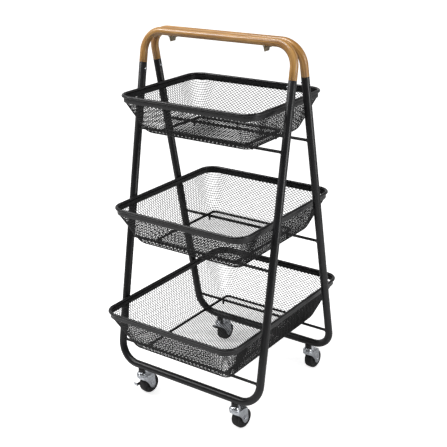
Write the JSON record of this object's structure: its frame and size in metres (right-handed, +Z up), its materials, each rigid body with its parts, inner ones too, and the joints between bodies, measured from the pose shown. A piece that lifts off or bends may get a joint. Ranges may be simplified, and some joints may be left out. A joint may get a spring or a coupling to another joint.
{
  "type": "rolling pantry cart",
  "caption": "Rolling A-frame storage cart: two leaning tube loops with a wood-grain handle, lift-off mesh baskets and swivel casters, two with brakes.",
  "frame": {"origin": "on the floor, in the middle of the cart", "axes": "+X along the handle bar, -Y the front, +Z up"},
  "size_m": [0.4356, 0.4946, 0.9033],
  "materials": {
    "black_steel": "satin black powder coat",
    "wood_grain": "satin bamboo wood grain",
    "zinc": "bright zinc plate",
    "dull_brass": "dull plated clip",
    "black_plastic": "moulded satin black",
    "black_rubber": "matt black rubber"
  },
  "bodies": {
    "frame": {"front_lower_frame": "black_steel", "front_handle_tube": "wood_grain", "front_crossbar_top": "black_steel", "front_crossbar_middle": "black_steel", "front_crossbar_bottom": "black_steel", "front_left_leg_screw": "zinc", "front_left_clip_screw": "dull_brass", "front_right_leg_screw": "zinc", "front_right_clip_screw": "dull_brass", "rear_lower_frame": "black_steel", "rear_handle_tube": "wood_grain", "rear_crossbar_top": "black_steel", "rear_crossbar_middle": "black_steel", "rear_crossbar_bottom": "black_steel", "rear_left_leg_screw": "zinc", "rear_left_clip_screw": "dull_brass", "rear_right_leg_screw": "zinc", "rear_right_clip_screw": "dull_brass", "left_handle_clip": "dull_brass", "right_handle_clip": "dull_brass", "front_left_caster_collar": "black_plastic", "front_left_caster_stem": "zinc", "front_left_caster_ball_race": "zinc", "front_right_caster_collar": "black_plastic", "front_right_caster_stem": "zinc", "front_right_caster_ball_race": "zinc", "rear_left_caster_collar": "black_plastic", "rear_left_caster_stem": "zinc", "rear_left_caster_ball_race": "zinc", "rear_right_caster_collar": "black_plastic", "rear_right_caster_stem": "zinc", "rear_right_caster_ball_race": "zinc"},
    "top_basket": {"top_basket_rim": "black_steel", "top_basket_mesh": "black_steel", "top_basket_base_wire": "black_steel"},
    "middle_basket": {"middle_basket_rim": "black_steel", "middle_basket_mesh": "black_steel", "middle_basket_base_wire": "black_steel"},
    "bottom_basket": {"bottom_basket_rim": "black_steel", "bottom_basket_mesh": "black_steel", "bottom_basket_base_wire": "black_steel"},
    "front_left_swivel": {"front_left_caster_fork": "zinc", "front_left_caster_axle": "zinc"},
    "front_left_wheel": {"front_left_wheel_hub": "black_plastic", "front_left_wheel_tyre": "black_rubber"},
    "front_left_brake": {"front_left_brake_lever": "zinc"},
    "front_right_swivel": {"front_right_caster_fork": "zinc", "front_right_caster_axle": "zinc"},
    "front_right_wheel": {"front_right_wheel_hub": "black_plastic", "front_right_wheel_tyre": "black_rubber"},
    "rear_left_swivel": {"rear_left_caster_fork": "zinc", "rear_left_caster_axle": "zinc"},
    "rear_left_wheel": {"rear_left_wheel_hub": "black_plastic", "rear_left_wheel_tyre": "black_rubber"},
    "rear_left_brake": {"rear_left_brake_lever": "zinc"},
    "rear_right_swivel": {"rear_right_caster_fork": "zinc", "rear_right_caster_axle": "zinc"},
    "rear_right_wheel": {"rear_right_wheel_hub": "black_plastic", "rear_right_wheel_tyre": "black_rubber"}
  },
  "joints": [
    {"name": "top_basket_lift", "type": "slide", "parent": "frame", "child": "top_basket", "axis": [0, 0, 1], "range_m": [0, 0.03]},
    {"name": "middle_basket_lift", "type": "slide", "parent": "frame", "child": "middle_basket", "axis": [0, 0, 1], "range_m": [0, 0.03]},
    {"name": "bottom_basket_lift", "type": "slide", "parent": "frame", "child": "bottom_basket", "axis": [0, 0, 1], "range_m": [0, 0.03]},
    {"name": "front_left_swivel_turn", "type": "hinge", "parent": "frame", "child": "front_left_swivel", "pos_m": [-0.143, -0.1692, 0.055], "axis": [0, 0, 1], "continuous": true},
    {"name": "front_left_wheel_roll", "type": "hinge", "parent": "front_left_swivel", "child": "front_left_wheel", "pos_m": [-0.14001, -0.14791, 0.025], "axis": [0.9903, -0.1392, 0], "continuous": true},
    {"name": "front_left_brake_press", "type": "hinge", "parent": "front_left_swivel", "child": "front_left_brake", "pos_m": [-0.14001, -0.14791, 0.025], "axis": [0.9903, -0.1392, 0], "range_deg": [-34, 0]},
    {"name": "front_right_swivel_turn", "type": "hinge", "parent": "frame", "child": "front_right_swivel", "pos_m": [0.143, -0.1692, 0.055], "axis": [0, 0, 1], "continuous": true},
    {"name": "front_right_wheel_roll", "type": "hinge", "parent": "front_right_swivel", "child": "front_right_wheel", "pos_m": [0.14599, -0.14791, 0.025], "axis": [0.9903, -0.1392, 0], "continuous": true},
    {"name": "rear_left_swivel_turn", "type": "hinge", "parent": "frame", "child": "rear_left_swivel", "pos_m": [-0.143, 0.1692, 0.055], "axis": [0, 0, 1], "continuous": true},
    {"name": "rear_left_wheel_roll", "type": "hinge", "parent": "rear_left_swivel", "child": "rear_left_wheel", "pos_m": [-0.1415, 0.19065, 0.025], "axis": [0.9976, -0.0698, 0], "continuous": true},
    {"name": "rear_left_brake_press", "type": "hinge", "parent": "rear_left_swivel", "child": "rear_left_brake", "pos_m": [-0.1415, 0.19065, 0.025], "axis": [0.9976, -0.0698, 0], "range_deg": [0, 34]},
    {"name": "rear_right_swivel_turn", "type": "hinge", "parent": "frame", "child": "rear_right_swivel", "pos_m": [0.143, 0.1692, 0.055], "axis": [0, 0, 1], "continuous": true},
    {"name": "rear_right_wheel_roll", "type": "hinge", "parent": "rear_right_swivel", "child": "rear_right_wheel", "pos_m": [0.1445, 0.19065, 0.025], "axis": [0.9976, -0.0698, 0], "continuous": true}
  ]
}
